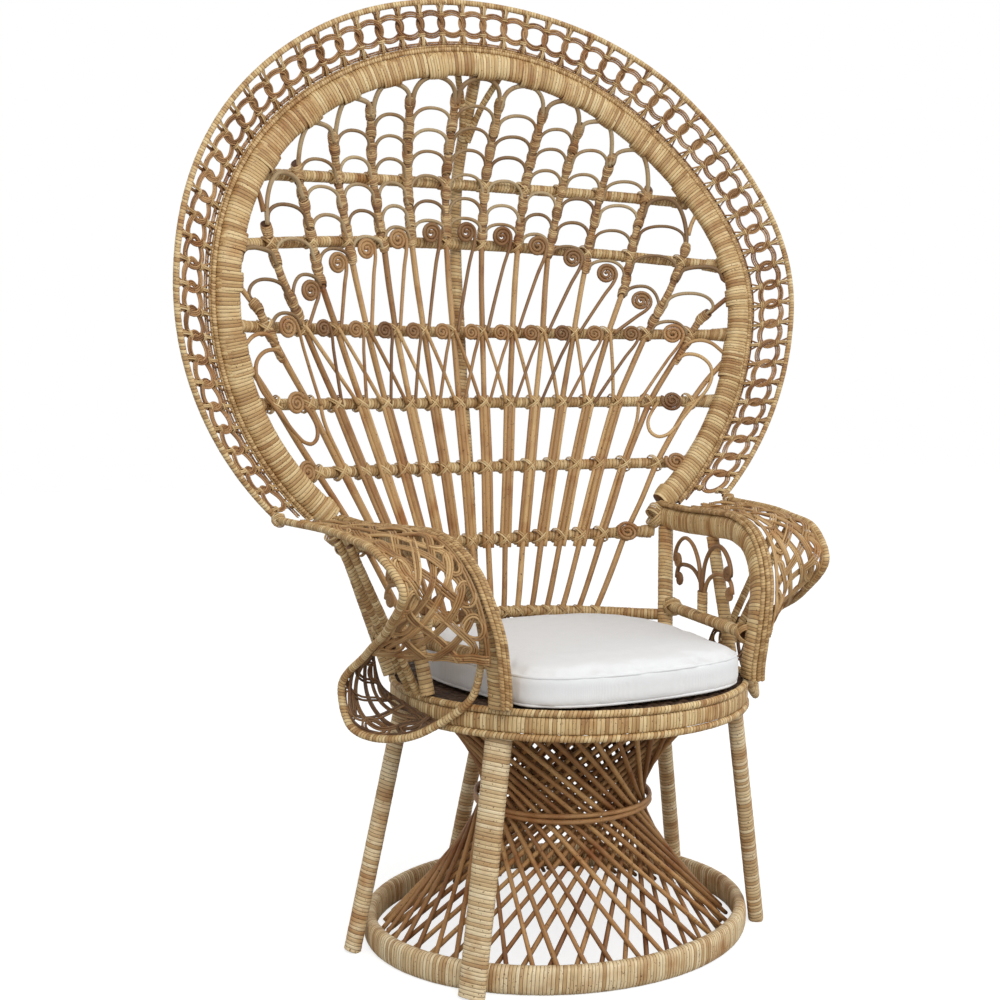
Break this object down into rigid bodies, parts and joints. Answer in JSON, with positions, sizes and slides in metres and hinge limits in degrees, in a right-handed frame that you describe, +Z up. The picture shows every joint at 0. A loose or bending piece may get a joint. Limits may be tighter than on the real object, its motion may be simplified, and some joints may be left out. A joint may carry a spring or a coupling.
{
  "type": "peacock chair",
  "caption": "Rattan peacock chair with a dished fan back in a wrapped hoop, rolled wing arms, round cushioned seat and hourglass cane base.",
  "frame": {"origin": "on the floor under the middle of the chair's bounding box", "axes": "+Z up, the chair faces -Y, +X to the right as seen from the front"},
  "size_m": [1.0754, 0.6574, 1.4247],
  "materials": {
    "wrapped_rattan": "satin",
    "core_cane": "satin",
    "red_cane": "satin",
    "scroll_cane": "satin",
    "dark_weave": "matte",
    "cotton": "matte"
  },
  "bodies": {
    "frame": {"arm_back_post_left": "wrapped_rattan", "arm_back_post_right": "wrapped_rattan", "arm_edge_cane_left": "red_cane", "arm_edge_cane_right": "red_cane", "arm_fleur_left": "core_cane", "arm_fleur_right": "core_cane", "arm_frame_left": "wrapped_rattan", "arm_frame_right": "wrapped_rattan", "arm_lower_rail_left": "wrapped_rattan", "arm_lower_rail_right": "wrapped_rattan", "arm_side_post_left": "wrapped_rattan", "arm_side_post_right": "wrapped_rattan", "arm_stay_1_left": "wrapped_rattan", "arm_stay_1_right": "wrapped_rattan", "arm_stay_2_left": "wrapped_rattan", "arm_stay_2_right": "wrapped_rattan", "base_ring": "wrapped_rattan", "border_hoop": "wrapped_rattan", "crossbar_1": "wrapped_rattan", "crossbar_2": "wrapped_rattan", "crossbar_3": "wrapped_rattan", "crossbar_4": "wrapped_rattan", "crossbar_5": "wrapped_rattan", "crossbar_6": "wrapped_rattan", "hoop_edge_cane": "red_cane", "hourglass_canes_inner": "core_cane", "hourglass_canes_outer": "core_cane", "leg_front_left": "wrapped_rattan", "leg_front_right": "wrapped_rattan", "leg_rear": "wrapped_rattan", "leg_side_left": "wrapped_rattan", "leg_side_right": "wrapped_rattan", "main_hoop": "wrapped_rattan", "rib_lattice": "wrapped_rattan", "ring_border_1": "core_cane", "ring_border_2": "core_cane", "scroll_1": "scroll_cane", "scroll_10": "scroll_cane", "scroll_11": "scroll_cane", "scroll_2": "scroll_cane", "scroll_3": "scroll_cane", "scroll_4": "scroll_cane", "scroll_5": "scroll_cane", "scroll_6": "scroll_cane", "scroll_7": "scroll_cane", "scroll_8": "scroll_cane", "scroll_9": "scroll_cane", "seat_apron": "wrapped_rattan", "seat_deck": "dark_weave", "seat_hoop": "core_cane", "seat_rim_lower": "wrapped_rattan", "seat_rim_upper": "wrapped_rattan", "spine_post": "wrapped_rattan", "stake_fan": "core_cane", "waist_band": "red_cane", "wing_panel_left": "core_cane", "wing_panel_right": "core_cane", "wing_rim_left": "wrapped_rattan", "wing_rim_right": "wrapped_rattan"},
    "cushion": {"seat_cushion": "cotton"}
  },
  "joints": [
    {"name": "cushion_lift", "type": "slide", "parent": "frame", "child": "cushion", "axis": [0, 0, 1], "range_m": [0, 0.3]}
  ]
}
